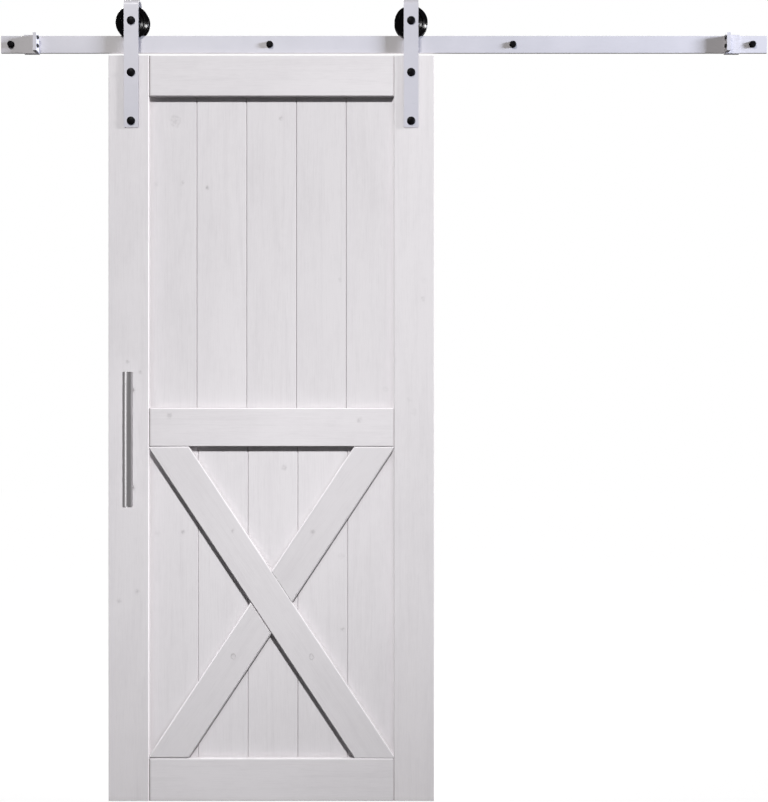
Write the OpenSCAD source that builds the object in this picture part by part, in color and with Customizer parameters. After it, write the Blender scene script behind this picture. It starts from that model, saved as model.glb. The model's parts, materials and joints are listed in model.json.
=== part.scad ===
// Sliding barn door with its wall track, in millimetres.
// The wall is the plane y = 0 and the door hangs in front of it, toward -y.
// x = 0 is midway between the outer wall fixings, z = 0 is the middle of the track bar.

/* [Door] */
// height of the door from its top edge to its bottom edge
door_height = 2134; // [1900:1:2400]
// width of the door across both stiles
door_width = 932; // [760:1:1100]
// thickness of stiles and rails
door_thick = 40; // [34:0.5:45]
// height of air between the door's top edge and the bar
top_gap = 11.5; // [9:0.5:20]
// air between the door's back and the wall
wall_gap = 10; // [9:0.5:30]
// distance of the door's left edge to the left of the origin
door_left_at = 782; // [650:1:850]
// width of each stile
stile_width = 115; // [105:1:140]
// height of the top rail
top_rail_height = 116; // [90:1:160]
// height of the middle rail
middle_rail_height = 109; // [85:1:160]
// height of the bottom rail
bottom_rail_height = 121; // [90:1:180]
// chamfer on a rail's ends, where it meets a stile
joint_arris = 3; // [1:0.25:4]
// chamfer along the inner edges of stiles and rails and along the braces
edge_arris = 1.5; // [0.75:0.25:3]
// lighter chamfer across the ends of the braces
end_arris = 1; // [0.5:0.25:2.5]
// small chamfer on the door's outside edges
outer_arris = 1; // [0.5:0.25:3]

/* [Planks] */
// thickness of the tongue-and-groove planks
plank_thick = 12; // [10:0.5:14]
// depth of the planks' faces behind the front of the frame
recess = 14; // [11:0.5:15]
// depth of the groove that houses the planks
housing = 8; // [6:0.5:12]
// slack between a housed edge and the floor of its groove
housing_slack = 1; // [0.5:0.25:3]
// slack beside a tongue, a tenon or a plank's face
wood_fit = 0.2; // [0.1:0.05:0.5]
// chamfer on both sides of a V joint
v_joint = 2; // [1:0.25:3]
// length of a plank's tongue
tongue_length = 6; // [4:0.5:9]
// thickness of a plank's tongue
tongue_thick = 4; // [3:0.25:5]
// sideways shift of the upper panel's joints
upper_shift = -1.5; // [-12:0.5:12]
// sideways shift of the lower panel's joints
lower_shift = 2.5; // [-12:0.5:12]

/* [Braces] */
// width of each brace, square across the board
brace_width = 99; // [70:1:120]
// length by which a brace's tip is trimmed back to the stile
brace_trim = 5; // [1:0.5:12]
// gap at the ends of the braces and between them
brace_gap = 0.3; // [0.1:0.05:1]
// radius of a brace screw's shank
brace_screw_r = 2; // [1.5:0.1:2.5]
// radius of a brace screw's countersunk head
brace_screw_head_r = 4; // [3:0.1:5]
// length of a brace screw behind the plank's back
brace_screw_length = 22; // [16:0.5:23]

/* [Dowels] */
// radius of the dowels in the frame joints
dowel_r = 5; // [4:0.25:5.5]
// depth of a dowel in each of its two boards
dowel_depth = 30; // [20:1:32]
// distance between the two dowels of a joint
dowel_spacing = 56; // [40:1:64]
// slack around a dowel and past its ends
dowel_fit = 0.1; // [0.05:0.05:0.3]

/* [Track] */
// length of the track bar
track_length = 2202; // [1900:1:2600]
// height of the track bar
track_height = 49; // [44:1:60]
// thickness of the track bar
track_thick = 6; // [5:0.25:8]
// distance of the left outer fixing from the bar's left end
left_end_hole = 29; // [20:1:45]
// distance of the right outer fixing from the bar's right end
right_end_hole = 42; // [20:1:60]
// distance of the left inner fixing from the middle of the outer ones
inner_left_hole = 322; // [200:1:450]
// distance of the right inner fixing from the middle of the outer ones
inner_right_hole = 377; // [200:1:450]
// outer radius of a spacer
spacer_r = 11; // [9:0.5:14]
// radius over a lag bolt's thread
lag_r = 4; // [3:0.25:5]
// step from the thread down to the lag bolt's plain shank
lag_step = 0.5; // [0.2:0.1:0.8]
// clearance around a lag bolt's thread
lag_fit = 0.5; // [0.2:0.1:1]
// depth that a lag bolt reaches into the wall
lag_reach = 24; // [20:1:80]
// distance across the flats of a lag bolt's head
lag_flats = 16; // [13:0.5:18]
// radius of a lag bolt's blunt point
lag_tip_r = 0.4; // [0.2:0.1:1]
// height of a lag bolt's head
lag_head = 5.6; // [4:0.1:7]
// radius of the washer under a lag bolt's head
lag_washer_r = 10; // [9:0.5:12]
// thickness of the washer under a lag bolt's head
lag_washer = 1.6; // [1:0.1:2.5]

/* [Stops] */
// distance of the left stop's inner face from the origin
left_stop_at = 985; // [900:1:1000]
// distance of the right stop's inner face from the origin
right_stop_at = 985; // [900:1:1000]
// length of a stop's sleeve along the bar
stop_length = 43; // [30:1:50]
// wall thickness of a stop's sleeve
stop_wall = 2; // [1.5:0.25:2.25]
// slack between the sleeve and the bar
stop_fit = 0.2; // [0.1:0.05:0.4]
// height of the sleeve's return behind the bar
stop_return = 8; // [5:0.5:12]
// thickness of a stop's flange
stop_flange = 10.5; // [10:0.5:14]
// reach of the flange in front of the bar
stop_reach = 21; // [19:0.5:30]
// height of the flange's lower edge above the sleeve's lower edge
stop_lift = 2.5; // [0:0.25:4]
// slanting cut in the flange's upper edge, behind its front, which the wheel's rim passes
stop_relief = 8.5; // [8.25:0.25:9]
// gap between the wheel's face and the flange's front
stop_air = 1; // [0.5:0.25:1.5]
// radius of a bumper
bumper_r = 5.5; // [4:0.25:6]
// height of a bumper above the flange
bumper_height = 4; // [3.75:0.25:8]
// chamfer around a bumper's end
bumper_ease = 1.5; // [0.5:0.25:2.5]
// radius of a bumper's stem
bumper_stem_r = 2.5; // [1.5:0.25:3]
// distance between the two bumpers of a stop
bumper_spacing = 24; // [16:0.5:28]
// height of the bumpers' middle above the middle of the bar
bumper_rise = 3; // [0:0.5:5]
// radius of a stop's grub screw
grub_r = 2.5; // [2:0.25:3]

/* [Hangers] */
// distance of each hanger's middle from the door's edge
hanger_inset = 66; // [52:0.5:74]
// width of a strap
strap_width = 42; // [36:0.5:50]
// thickness of a strap
strap_thick = 6; // [5:0.25:8]
// length of a strap below the door's top edge
strap_drop = 207; // [160:1:300]
// depth of the upper strap bolt below the door's top edge
upper_bolt_drop = 50; // [30:1:90]
// depth of the lower strap bolt below the door's top edge
lower_bolt_drop = 189; // [120:1:280]
// reach of a strap's back leg below the axle
back_leg_drop = 20; // [14:0.5:24]
// chamfer on the corners of a strap's ends
strap_corner = 2.5; // [1:0.25:6]
// air between the top of the wheel and the strap's bend
bend_air = 8; // [3:0.25:12]
// outer radius of a wheel
wheel_r = 48; // [45:0.25:48.5]
// radius of the wheel's groove, which rolls on the bar
groove_r = 37; // [36:0.25:39]
// width of a wheel
wheel_width = 24; // [20:0.5:28]
// air between a wheel's face and the strap
wheel_side = 2.5; // [1.5:0.25:4]
// clearance between the groove and the bar's sides
groove_fit = 0.8; // [0.5:0.1:1.5]
// clearance between the groove and the bar's top
roll_fit = 0.2; // [0.1:0.05:0.4]
// slope of the groove's sides, as widening at the rim
groove_flare = 2.2; // [0:0.1:3]
// thickness of the hub around the bearing
hub_wall = 10; // [5:0.25:12]
// thickness of the rim inside the groove
rim_wall = 3; // [2:0.25:5]
// width of the lip that holds the bearing
bearing_lip = 1.5; // [0.8:0.1:2]
// depth of the dish in each face of a wheel
wheel_dish = 3.5; // [0.5:0.25:6]
// chamfer on a wheel's rim
wheel_ease = 1.5; // [0.5:0.25:2.5]

/* [Axle and bearing] */
// radius of an axle bolt's shank
axle_r = 5; // [4:0.25:5.5]
// clearance around bolts in the straps
bolt_fit = 0.3; // [0.1:0.05:0.6]
// radius of a round bolt head
head_r = 12; // [10:0.25:13]
// height of a round bolt head
head_height = 6; // [4:0.25:8]
// distance across the flats of an axle nut
nut_flats = 17; // [16:0.5:19]
// height of an axle nut
nut_height = 7; // [5:0.25:8]
// outer radius of a bearing
bearing_r = 13; // [12.5:0.25:15]
// width of a bearing
bearing_width = 8; // [7:0.25:10]
// thickness of a bearing's inner ring
inner_ring = 2.5; // [2:0.1:2.8]
// thickness of a bearing's outer ring
outer_ring = 2; // [1.6:0.1:2.5]
// radius of a bearing's balls
ball_r = 2.2; // [1.9:0.05:2.4]
// number of balls in a bearing
ball_count = 8; // [5:1:9]
// clearance between a ball and its race
race_fit = 0.1; // [0.05:0.05:0.2]
// outer radius of the bushes beside a bearing
bush_r = 7; // [6.5:0.25:8]
// slack of the bushes on the axle
bush_fit = 0.1; // [0.05:0.05:0.3]

/* [Strap bolts] */
// radius of a strap bolt's shank
strap_bolt_r = 4; // [3:0.25:5]
// length of a strap bolt's shank inside the door
strap_bolt_reach = 24; // [15:0.5:30]
// outer radius of a barrel nut
barrel_r = 6; // [5.5:0.25:7]
// depth of a barrel nut in the door
barrel_length = 32; // [24:0.5:33]
// radius of a barrel nut's flange
barrel_flange_r = 10; // [9:0.25:12]
// thickness of a barrel nut's flange
barrel_flange = 2.5; // [1.5:0.25:4]
// radius over the corners of a barrel nut's socket
barrel_socket_r = 3.2; // [2.5:0.1:4]
// depth of a barrel nut's socket
barrel_socket = 1.2; // [0.8:0.1:1.4]

/* [Handle] */
// distance of the handle's middle from the door's left edge
handle_inset = 67.5; // [30:0.5:90]
// depth of the handle's middle below the door's top edge
handle_drop = 1097; // [800:1:1300]
// length of the handle
handle_length = 380; // [300:1:600]
// outer radius of the handle's tube
handle_r = 14.5; // [12:0.25:19]
// wall thickness of the handle's tube
handle_wall = 2; // [1.5:0.25:3]
// distance of the tube's axis in front of the door
handle_standoff = 46; // [42:0.5:80]
// distance between the handle's posts
post_spacing = 280; // [200:1:290]
// radius of a handle post
post_r = 6.5; // [5.5:0.25:11]
// thickness of an end cap outside the tube
cap_thick = 2; // [1:0.25:4]
// depth of an end cap inside the tube
cap_plug = 8; // [4:0.5:14]
// radius of a handle screw's shank
handle_screw_r = 3; // [2.5:0.25:4]
// depth of a handle screw in its post
handle_screw_reach = 22; // [12:0.5:24]
// radius of a handle screw's head
handle_screw_head_r = 5.5; // [4.5:0.25:7]
// height of a handle screw's head
handle_screw_head = 3.2; // [2:0.1:4]
// radius over the corners of a handle screw's socket
screw_socket_r = 2.6; // [2:0.1:3.5]
// depth of a handle screw's socket
screw_socket = 1.8; // [1:0.1:1.9]
// radius of a handle screw's washer
handle_washer_r = 9; // [7.5:0.25:12]
// thickness of a handle screw's washer
handle_washer = 1.5; // [1:0.1:2]

/* [Hidden] */
$fn = 72;
eps = 0.5;

// the door's planes
door_back = -wall_gap;
door_front = door_back - door_thick;
door_top = -track_height / 2 - top_gap;
door_bottom = door_top - door_height;
door_left = -door_left_at;
door_right = door_left + door_width;
open_left = door_left + stile_width;
open_right = door_right - stile_width;
open_width = open_right - open_left;

// the two panels have the same height, so the middle rail lies midway between the others
panel_height = (door_height - top_rail_height - middle_rail_height - bottom_rail_height) / 2;
upper_open_top = door_top - top_rail_height;
upper_open_bottom = upper_open_top - panel_height;
lower_open_top = upper_open_bottom - middle_rail_height;
lower_open_bottom = lower_open_top - panel_height;

// the planks and their housing
plank_front = door_front + recess;
plank_back = plank_front + plank_thick;
tuck = housing - housing_slack;
plank_pitch = (open_width + 2 * tuck) / 5;

// the wheels roll on the bar's top, in the middle of its thickness
strap_inside = door_front;
gap_half = wheel_width / 2 + wheel_side;
track_y = strap_inside + gap_half;
track_front = track_y - track_thick / 2;
track_back = track_y + track_thick / 2;
track_top = track_height / 2;
axle_z = track_top + groove_r + roll_fit;
left_hanger_x = door_left + hanger_inset;
right_hanger_x = door_right - hanger_inset;
back_leg_inside = track_y + gap_half;
back_leg_outside = back_leg_inside + strap_thick;
bend_z = axle_z + wheel_r + bend_air - sqrt(gap_half * gap_half - pow(wheel_width / 2 - wheel_ease, 2));

// the wall fixings
fix_span = track_length - left_end_hole - right_end_hole;
track_left = -fix_span / 2 - left_end_hole;
fix_x = [-fix_span / 2, -inner_left_hole, inner_right_hole, fix_span / 2];
lag_hole_r = lag_r + lag_fit;

// the brace's cut along a rail, from its square width and its untrimmed span
brace_span = open_width + 2 * brace_trim;
brace_cut = (
    -pow(brace_width, 2) * brace_span
    + sqrt(pow(pow(brace_width, 2) * brace_span, 2)
        + (pow(panel_height, 2) - pow(brace_width, 2)) * pow(brace_width, 2)
            * (pow(brace_span, 2) + pow(panel_height, 2)))
) / (pow(panel_height, 2) - pow(brace_width, 2));

// the bearing's circle of balls
ring_inside_r = axle_r + inner_ring;
ring_outside_r = bearing_r - outer_ring;
ball_circle = (ring_inside_r + ring_outside_r) / 2;
race_r = ball_r + race_fit;

// the handle's place
handle_x = door_left + handle_inset;
handle_z = door_top - handle_drop;
handle_y = door_front - handle_standoff;
post_z = [handle_z + post_spacing / 2, handle_z - post_spacing / 2];

// the strap bolts' places
bolt_z = [door_top - upper_bolt_drop, door_top - lower_bolt_drop];
hanger_x = [left_hanger_x, right_hanger_x];

// the frame joints, as the middle height of each rail
joint_z = [
    door_top - top_rail_height / 2,
    lower_open_top + middle_rail_height / 2,
    door_bottom + bottom_rail_height / 2
];

white_paint = [0.86, 0.86, 0.87];
white_steel = [0.8, 0.8, 0.83];
black_steel = [0.09, 0.09, 0.1];
bare_steel = [0.66, 0.67, 0.69];
bare_wood = [0.8, 0.66, 0.46];

// a cylinder along y from y0 to y1
module rod_y(x, z, y0, y1, r) {
    translate([x, y0, z])
        rotate([-90, 0, 0])
            cylinder(r = r, h = y1 - y0);
}

// a cylinder along x from x0 to x1
module rod_x(y, z, x0, x1, r) {
    translate([x0, y, z])
        rotate([0, 90, 0])
            cylinder(r = r, h = x1 - x0);
}

// a hexagonal prism along y, with its flats measured across
module hex_y(x, z, y0, y1, flats) {
    translate([x, y0, z])
        rotate([-90, 0, 0])
            cylinder(r = flats / sqrt(3), h = y1 - y0, $fn = 6);
}

// a 45 degree cut along a line in the plane y = 0 of a board's front, with the board to the line's left
module arris_cut(p, q, size) {
    run = q - p;
    deep = size / sqrt(2);
    wide = size * sqrt(2);
    translate([p[0], 0, p[1]])
        rotate([0, -atan2(run[1], run[0]), 0])
            rotate([45, 0, 0])
                translate([-2 * size, -wide, -wide])
                    cube([norm(run) + 4 * size, wide + deep, 2 * wide]);
}

// a flat board with an outline in x and z, and all arrises cut on its front face
module arrised_board(outline, thick, long_edges) {
    last = len(outline) - 1;
    difference() {
        rotate([90, 0, 0])
            translate([0, 0, -thick])
                linear_extrude(height = thick)
                    polygon(outline);
        for (i = [0 : last])
            arris_cut(outline[i], outline[i == last ? 0 : i + 1],
                len(search(i, long_edges)) > 0 ? edge_arris : end_arris);
    }
}

// the holes of the dowels in the frame, which the dowels fill
module dowels(slack) {
    for (z = joint_z)
        for (dz = [-dowel_spacing / 2, dowel_spacing / 2]) {
            rod_x(door_front + door_thick / 2, z + dz, open_left - housing - dowel_depth - slack,
                open_left - housing + dowel_depth + slack, dowel_r + slack);
            rod_x(door_front + door_thick / 2, z + dz, open_right + housing - dowel_depth - slack,
                open_right + housing + dowel_depth + slack, dowel_r + slack);
        }
}

// the holes of the barrel nuts and of the handle's screws through the stiles
module stile_holes() {
    for (x = hanger_x)
        for (z = bolt_z)
            rod_y(x, z, door_front - eps, door_back + eps, barrel_r + wood_fit);
    for (z = post_z)
        rod_y(handle_x, z, door_front - eps, door_back + eps, handle_screw_r + wood_fit);
}

// a stile's section, with its outside at x = 0 and its front at y = 0
module stile_section() {
    g0 = recess - wood_fit;
    g1 = recess + plank_thick + wood_fit;
    polygon([
        [outer_arris, 0], [stile_width - edge_arris, 0], [stile_width, edge_arris],
        [stile_width, g0], [stile_width - housing, g0], [stile_width - housing, g1], [stile_width, g1],
        [stile_width, door_thick - edge_arris], [stile_width - edge_arris, door_thick],
        [outer_arris, door_thick], [0, door_thick - outer_arris], [0, outer_arris]
    ]);
}

module stile() {
    translate([0, door_front, door_bottom])
        linear_extrude(height = door_height)
            stile_section();
}

module left_stile() {
    color(white_paint)
        difference() {
            translate([door_left, 0, 0])
                stile();
            dowels(dowel_fit);
            stile_holes();
        }
}

module right_stile() {
    color(white_paint)
        difference() {
            translate([door_right, 0, 0])
                mirror([1, 0, 0])
                    stile();
            dowels(dowel_fit);
            stile_holes();
        }
}

// a rail between the stiles, with stub tenons, grooved and arrised as its edges need
module rail(z0, height, groove_below, groove_above) {
    low = groove_below ? edge_arris : outer_arris;
    high = groove_above ? edge_arris : outer_arris;
    corner = joint_arris * sqrt(2);
    tenon = housing - housing_slack;
    g0 = recess - wood_fit;
    g1 = recess + plank_thick + wood_fit;
    difference() {
        union() {
            translate([open_left, door_front, z0])
                rotate([90, 0, 90])
                    linear_extrude(height = open_width)
                        polygon([
                            [0, low], [low, 0], [door_thick - low, 0], [door_thick, low],
                            [door_thick, height - high], [door_thick - high, height],
                            [high, height], [0, height - high]
                        ]);
            translate([open_left - tenon, plank_front, z0])
                cube([open_width + 2 * tenon, plank_thick, height]);
        }
        if (groove_below)
            translate([open_left - housing - eps, door_front + g0, z0 - eps])
                cube([open_width + 2 * housing + 2 * eps, g1 - g0, housing + eps]);
        if (groove_above)
            translate([open_left - housing - eps, door_front + g0, z0 + height - housing])
                cube([open_width + 2 * housing + 2 * eps, g1 - g0, housing + eps]);
        for (x = [open_left, open_right])
            for (y = [door_front, door_back])
                translate([x, y, z0 - eps])
                    rotate([0, 0, 45])
                        translate([-corner / 2, -corner / 2, 0])
                            cube([corner, corner, height + 2 * eps]);
        dowels(dowel_fit);
    }
}

module top_rail() {
    color(white_paint)
        rail(upper_open_top, top_rail_height, true, false);
}

module middle_rail() {
    color(white_paint)
        rail(lower_open_top, middle_rail_height, true, true);
}

module bottom_rail() {
    color(white_paint)
        rail(door_bottom, bottom_rail_height, false, true);
}

// the joint lines of a panel: housed edge, four joints, housed edge
function seams(shift) = [
    -tuck,
    -tuck + plank_pitch + shift,
    -tuck + 2 * plank_pitch + shift,
    -tuck + 3 * plank_pitch + shift,
    -tuck + 4 * plank_pitch + shift,
    open_width + tuck
];

// one plank, grooved on its left and tongued on its right unless housed there
module plank(z_low, index, shift) {
    lines = seams(shift);
    a = lines[index - 1];
    b = lines[index] - (index < 5 ? wood_fit : 0);
    t0 = (plank_thick - tongue_thick) / 2;
    t1 = (plank_thick + tongue_thick) / 2;
    g = tongue_length + wood_fit;
    right_side = index < 5
        ? [
            [b - v_joint, 0], [b, v_joint], [b, t0], [b + tongue_length, t0],
            [b + tongue_length, t1], [b, t1], [b, plank_thick - v_joint], [b - v_joint, plank_thick]
        ]
        : [[b, 0], [b, plank_thick]];
    left_side = index > 1
        ? [
            [a + v_joint, plank_thick], [a, plank_thick - v_joint], [a, t1 + wood_fit],
            [a + g, t1 + wood_fit], [a + g, t0 - wood_fit], [a, t0 - wood_fit],
            [a, v_joint], [a + v_joint, 0]
        ]
        : [[a, plank_thick], [a, 0]];
    translate([open_left, plank_front, z_low - housing])
        linear_extrude(height = panel_height + housing + tuck)
            polygon(concat(right_side, left_side));
}

module upper_plank(index) {
    color(white_paint)
        plank(upper_open_bottom, index, upper_shift);
}

module lower_plank(index) {
    color(white_paint)
        difference() {
            plank(lower_open_bottom, index, lower_shift);
            brace_screw_set(wood_fit);
        }
}

module upper_plank_1() { upper_plank(1); }
module upper_plank_2() { upper_plank(2); }
module upper_plank_3() { upper_plank(3); }
module upper_plank_4() { upper_plank(4); }
module upper_plank_5() { upper_plank(5); }
module lower_plank_1() { lower_plank(1); }
module lower_plank_2() { lower_plank(2); }
module lower_plank_3() { lower_plank(3); }
module lower_plank_4() { lower_plank(4); }
module lower_plank_5() { lower_plank(5); }

// the lower opening with its corner at the origin, less the gap at the braces' ends
brace_w = open_width - 2 * brace_gap;
brace_h = panel_height - 2 * brace_gap;
brace_lean = brace_w + 2 * brace_trim - brace_cut;
trim_height = brace_h * brace_trim / brace_lean;

// a half brace ends on a line that is drawn back along x from the long brace, so that a gap stays
half_back = 2 * brace_gap;
half_tip = [
    (brace_w + half_back) / 2,
    brace_h * (brace_lean + brace_cut + half_back) / (2 * brace_lean)
];
half_heel = [(brace_w + brace_cut + half_back) / 2, brace_h * (brace_lean + half_back) / (2 * brace_lean)];

long_outline = [
    [0, brace_h], [0, brace_h - trim_height], [brace_w + brace_trim - brace_cut, 0],
    [brace_w, 0], [brace_w, trim_height], [brace_cut - brace_trim, brace_h]
];
half_outline = [
    [brace_w, brace_h], [brace_w + brace_trim - brace_cut, brace_h], half_tip, half_heel,
    [brace_w, brace_h - trim_height]
];

module in_lower_opening() {
    translate([open_left + brace_gap, door_front, lower_open_bottom + brace_gap])
        children();
}

module long_brace() {
    color(white_paint)
        difference() {
            in_lower_opening()
                arrised_board(long_outline, recess, [1, 4]);
            brace_screw_set(0);
        }
}

module half_brace(turn) {
    in_lower_opening()
        translate([brace_w / 2, 0, brace_h / 2])
            rotate([0, turn, 0])
                translate([-brace_w / 2, 0, -brace_h / 2])
                    arrised_board(half_outline, recess, [1, 3]);
}

module upper_half_brace() {
    color(white_paint)
        difference() {
            half_brace(0);
            brace_screw_set(0);
        }
}

module lower_half_brace() {
    color(white_paint)
        difference() {
            half_brace(180);
            brace_screw_set(0);
        }
}

module frame_dowels() {
    color(bare_wood)
        dowels(0);
}

// the screws stand on the braces' middle lines, as shares of their run
brace_screw_shares = [0.08, 0.32, 0.68, 0.92];

module brace_screw_set(slack) {
    head_depth = brace_screw_head_r - brace_screw_r;
    start = brace_cut / 2 - brace_trim;
    in_lower_opening()
        for (s = brace_screw_shares)
            for (x = [start + s * brace_lean, brace_w - start - s * brace_lean])
                translate([x, plank_back - door_front, brace_h * (1 - s)])
                    rotate([90, 0, 0]) {
                        cylinder(r = brace_screw_r + slack, h = brace_screw_length);
                        cylinder(r1 = brace_screw_head_r + slack, r2 = brace_screw_r + slack, h = head_depth);
                    }
}

module brace_screws() {
    color(bare_steel)
        brace_screw_set(0);
}

module track_bar() {
    color(white_steel)
        difference() {
            translate([track_left, track_front, -track_height / 2])
                cube([track_length, track_thick, track_height]);
            for (x = fix_x)
                rod_y(x, 0, track_front - eps, track_back + eps, lag_hole_r);
        }
}

module spacer(x) {
    color(white_steel)
        difference() {
            rod_y(x, 0, track_back, 0, spacer_r);
            rod_y(x, 0, track_back - eps, eps, lag_hole_r);
        }
}

module spacer_1() { spacer(fix_x[0]); }
module spacer_2() { spacer(fix_x[1]); }
module spacer_3() { spacer(fix_x[2]); }
module spacer_4() { spacer(fix_x[3]); }

module lag_bolts() {
    head_at = track_front - lag_washer;
    color(black_steel)
        for (x = fix_x) {
            hex_y(x, 0, head_at - lag_head, head_at, lag_flats);
            rod_y(x, 0, head_at - lag_head / 2, 1, lag_r - lag_step);
            rod_y(x, 0, 0, lag_reach - 2 * lag_r, lag_r);
            translate([x, lag_reach - 2 * lag_r, 0])
                rotate([-90, 0, 0])
                    cylinder(r1 = lag_r, r2 = lag_tip_r, h = 2 * lag_r);
        }
}

module lag_washers() {
    color(black_steel)
        for (x = fix_x)
            difference() {
                rod_y(x, 0, track_front - lag_washer, track_front, lag_washer_r);
                rod_y(x, 0, track_front - lag_washer - eps, track_front + eps, lag_hole_r);
            }
}

// half the height inside and outside a stop's sleeve
sleeve_in = track_height / 2 + stop_fit;
sleeve_out = sleeve_in + stop_wall;
sleeve_front = track_front - stop_fit - stop_wall;
sleeve_back = track_back + stop_fit + stop_wall;
bumper_y = strap_inside - strap_thick / 2;
bumper_z = [bumper_rise + bumper_spacing / 2, bumper_rise - bumper_spacing / 2];
grub_x = (stop_flange + stop_length) / 2;
relief_front = track_y - wheel_width / 2 - stop_air;

// a stop with its inner face at x = 0 and its sleeve toward +x
module stop() {
    relief_side = stop_relief * sqrt(2);
    difference() {
        union() {
            translate([0, sleeve_front, -sleeve_out])
                cube([stop_length, sleeve_back - sleeve_front, 2 * sleeve_out]);
            translate([0, track_front - stop_reach, -sleeve_out + stop_lift])
                cube([stop_flange, stop_reach - stop_fit, 2 * sleeve_out - stop_lift]);
        }
        translate([-eps, track_front - stop_fit, -sleeve_in])
            cube([stop_length + 2 * eps, track_thick + 2 * stop_fit, 2 * sleeve_in]);
        translate([-eps, track_back, -sleeve_in + stop_return])
            cube([stop_length + 2 * eps, stop_wall + eps + stop_fit, 2 * sleeve_in - 2 * stop_return]);
        for (z = bumper_z)
            rod_x(bumper_y, z, -eps, stop_flange + eps, bumper_stem_r);
        translate([0, relief_front, sleeve_out])
            rotate([0, 45, 0])
                translate([-relief_side / 2, 0, -relief_side / 2])
                    cube([relief_side, sleeve_front - relief_front, relief_side]);
        translate([grub_x, track_y, -sleeve_out - eps])
            cylinder(r = grub_r, h = stop_wall + 2 * eps);
    }
}

// the two bumpers of a stop, each a button with its stem in the flange
module bumpers() {
    for (z = bumper_z)
        difference() {
            union() {
                rod_x(bumper_y, z, -bumper_height, 0, bumper_r);
                rod_x(bumper_y, z, -bumper_height / 2, stop_flange, bumper_stem_r);
            }
            translate([-bumper_height, bumper_y, z])
                rotate([0, 90, 0])
                    rotate_extrude()
                        polygon([
                            [bumper_r - bumper_ease, -eps], [bumper_r + eps, -eps],
                            [bumper_r + eps, bumper_ease], [bumper_r, bumper_ease],
                            [bumper_r - bumper_ease, 0]
                        ]);
        }
}

module left_side() {
    translate([-left_stop_at, 0, 0])
        mirror([1, 0, 0])
            children();
}

module right_side() {
    translate([right_stop_at, 0, 0])
        children();
}

module left_stop() {
    color(white_steel)
        left_side()
            stop();
}

module right_stop() {
    color(white_steel)
        right_side()
            stop();
}

module left_stop_bumpers() {
    color(black_steel)
        left_side()
            bumpers();
}

module right_stop_bumpers() {
    color(black_steel)
        right_side()
            bumpers();
}

module grub_screw() {
    difference() {
        translate([grub_x, track_y, -sleeve_out - 1])
            cylinder(r = grub_r, h = sleeve_out + 1 - track_height / 2);
        translate([grub_x, track_y, -sleeve_out - 1 - eps])
            cylinder(r = grub_r * 0.5, h = 2 + eps, $fn = 6);
    }
}

module stop_grub_screws() {
    color(black_steel) {
        left_side()
            grub_screw();
        right_side()
            grub_screw();
    }
}

// a leg's outline in x and z with the corners of its lower end cut
function leg_outline(low, high) = [
    [-strap_width / 2 + strap_corner, low], [strap_width / 2 - strap_corner, low],
    [strap_width / 2, low + strap_corner], [strap_width / 2, high],
    [-strap_width / 2, high], [-strap_width / 2, low + strap_corner]
];

module leg(y0, low, high) {
    translate([0, y0 + strap_thick, 0])
        rotate([90, 0, 0])
            linear_extrude(height = strap_thick)
                polygon(leg_outline(low, high));
}

// the bent strap: front leg on the door, half round bend above the wheel, short back leg
module strap(x) {
    difference() {
        translate([x, 0, 0])
            union() {
                leg(strap_inside - strap_thick, door_top - strap_drop, bend_z);
                leg(back_leg_inside, axle_z - back_leg_drop, bend_z);
                translate([-strap_width / 2, track_y, bend_z])
                    rotate([90, 0, 90])
                        linear_extrude(height = strap_width)
                            difference() {
                                circle(r = gap_half + strap_thick);
                                circle(r = gap_half);
                                translate([-2 * gap_half - strap_thick, -4 * gap_half])
                                    square([4 * gap_half + 2 * strap_thick, 4 * gap_half]);
                            }
            }
        rod_y(x, axle_z, strap_inside - strap_thick - eps, back_leg_outside + eps, axle_r + bolt_fit);
        for (z = bolt_z)
            rod_y(x, z, strap_inside - strap_thick - eps, strap_inside + eps, strap_bolt_r + bolt_fit);
    }
}

module left_strap() {
    color(white_steel)
        strap(left_hanger_x);
}

module right_strap() {
    color(white_steel)
        strap(right_hanger_x);
}

// a round head with a turned edge, its flat on the plane y = y0 and its crown toward -y
module round_head(x, z, y0) {
    translate([x, y0, z])
        rotate([90, 0, 0])
            rotate_extrude()
                polygon([
                    [0, 0], [head_r, 0], [head_r, head_height * 0.3],
                    [head_r * 0.93, head_height * 0.62], [head_r * 0.76, head_height * 0.86],
                    [head_r * 0.5, head_height], [0, head_height]
                ]);
}

module axle_bolt(x) {
    outside = strap_inside - strap_thick;
    color(black_steel)
        union() {
            round_head(x, axle_z, outside);
            rod_y(x, axle_z, outside - 1, back_leg_outside + nut_height + 1, axle_r);
        }
}

module left_axle_bolt() { axle_bolt(left_hanger_x); }
module right_axle_bolt() { axle_bolt(right_hanger_x); }

module axle_nuts() {
    color(black_steel)
        for (x = hanger_x)
            difference() {
                hex_y(x, axle_z, back_leg_outside, back_leg_outside + nut_height, nut_flats);
                rod_y(x, axle_z, back_leg_outside - eps, back_leg_outside + nut_height + eps, axle_r);
            }
}

module bushes(x) {
    color(bare_steel)
        for (span = [
            [strap_inside, track_y - bearing_width / 2],
            [track_y + bearing_width / 2, back_leg_inside]
        ])
            difference() {
                rod_y(x, axle_z, span[0], span[1], bush_r);
                rod_y(x, axle_z, span[0] - eps, span[1] + eps, axle_r + bush_fit);
            }
}

module left_axle_bushes() { bushes(left_hanger_x); }
module right_axle_bushes() { bushes(right_hanger_x); }

// places something turned about z on a wheel's axis, in the middle of the track
module on_axle(x) {
    translate([x, track_y, axle_z])
        rotate([-90, 0, 0])
            children();
}

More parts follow.
